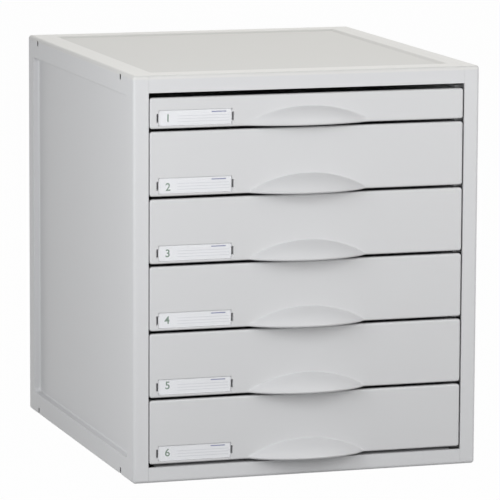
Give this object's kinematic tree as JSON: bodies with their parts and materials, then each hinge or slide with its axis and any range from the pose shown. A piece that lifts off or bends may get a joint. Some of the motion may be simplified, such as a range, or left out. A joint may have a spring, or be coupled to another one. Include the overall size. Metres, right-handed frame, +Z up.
{
  "type": "desktop drawer cabinet",
  "caption": "Desktop drawer cabinet in grey moulded plastic: a shallow drawer over a stack of tall ones, each with a half-moon grip and a label holder.",
  "frame": {"origin": "on the resting surface, under the middle of the whole object with its grips", "axes": "+X to the right seen from the front, +Y to the back, +Z up; the drawers open towards -Y"},
  "size_m": [0.302, 0.3585, 0.34],
  "materials": {
    "grey_plastic": "light grey moulded polystyrene, fine satin grain",
    "clear_plastic": "clear, polished",
    "label_paper": "white paper card with faint ruled lines"
  },
  "bodies": {
    "carcass": {"left_side_panel": "grey_plastic", "right_side_panel": "grey_plastic", "top_panel": "grey_plastic", "bottom_panel": "grey_plastic", "back_panel": "grey_plastic"},
    "drawer_1": {"drawer_1_tray": "grey_plastic", "drawer_1_front": "grey_plastic", "drawer_1_label_card": "label_paper", "drawer_1_label_window": "clear_plastic"},
    "drawer_2": {"drawer_2_tray": "grey_plastic", "drawer_2_front": "grey_plastic", "drawer_2_label_card": "label_paper", "drawer_2_label_window": "clear_plastic"},
    "drawer_3": {"drawer_3_tray": "grey_plastic", "drawer_3_front": "grey_plastic", "drawer_3_label_card": "label_paper", "drawer_3_label_window": "clear_plastic"},
    "drawer_4": {"drawer_4_tray": "grey_plastic", "drawer_4_front": "grey_plastic", "drawer_4_label_card": "label_paper", "drawer_4_label_window": "clear_plastic"},
    "drawer_5": {"drawer_5_tray": "grey_plastic", "drawer_5_front": "grey_plastic", "drawer_5_label_card": "label_paper", "drawer_5_label_window": "clear_plastic"},
    "drawer_6": {"drawer_6_tray": "grey_plastic", "drawer_6_front": "grey_plastic", "drawer_6_label_card": "label_paper", "drawer_6_label_window": "clear_plastic"}
  },
  "joints": [
    {"name": "drawer_1_slide", "type": "slide", "parent": "carcass", "child": "drawer_1", "axis": [0, -1, 0], "range_m": [0, 0.25]},
    {"name": "drawer_2_slide", "type": "slide", "parent": "carcass", "child": "drawer_2", "axis": [0, -1, 0], "range_m": [0, 0.25]},
    {"name": "drawer_3_slide", "type": "slide", "parent": "carcass", "child": "drawer_3", "axis": [0, -1, 0], "range_m": [0, 0.25]},
    {"name": "drawer_4_slide", "type": "slide", "parent": "carcass", "child": "drawer_4", "axis": [0, -1, 0], "range_m": [0, 0.25]},
    {"name": "drawer_5_slide", "type": "slide", "parent": "carcass", "child": "drawer_5", "axis": [0, -1, 0], "range_m": [0, 0.25]},
    {"name": "drawer_6_slide", "type": "slide", "parent": "carcass", "child": "drawer_6", "axis": [0, -1, 0], "range_m": [0, 0.25]}
  ]
}
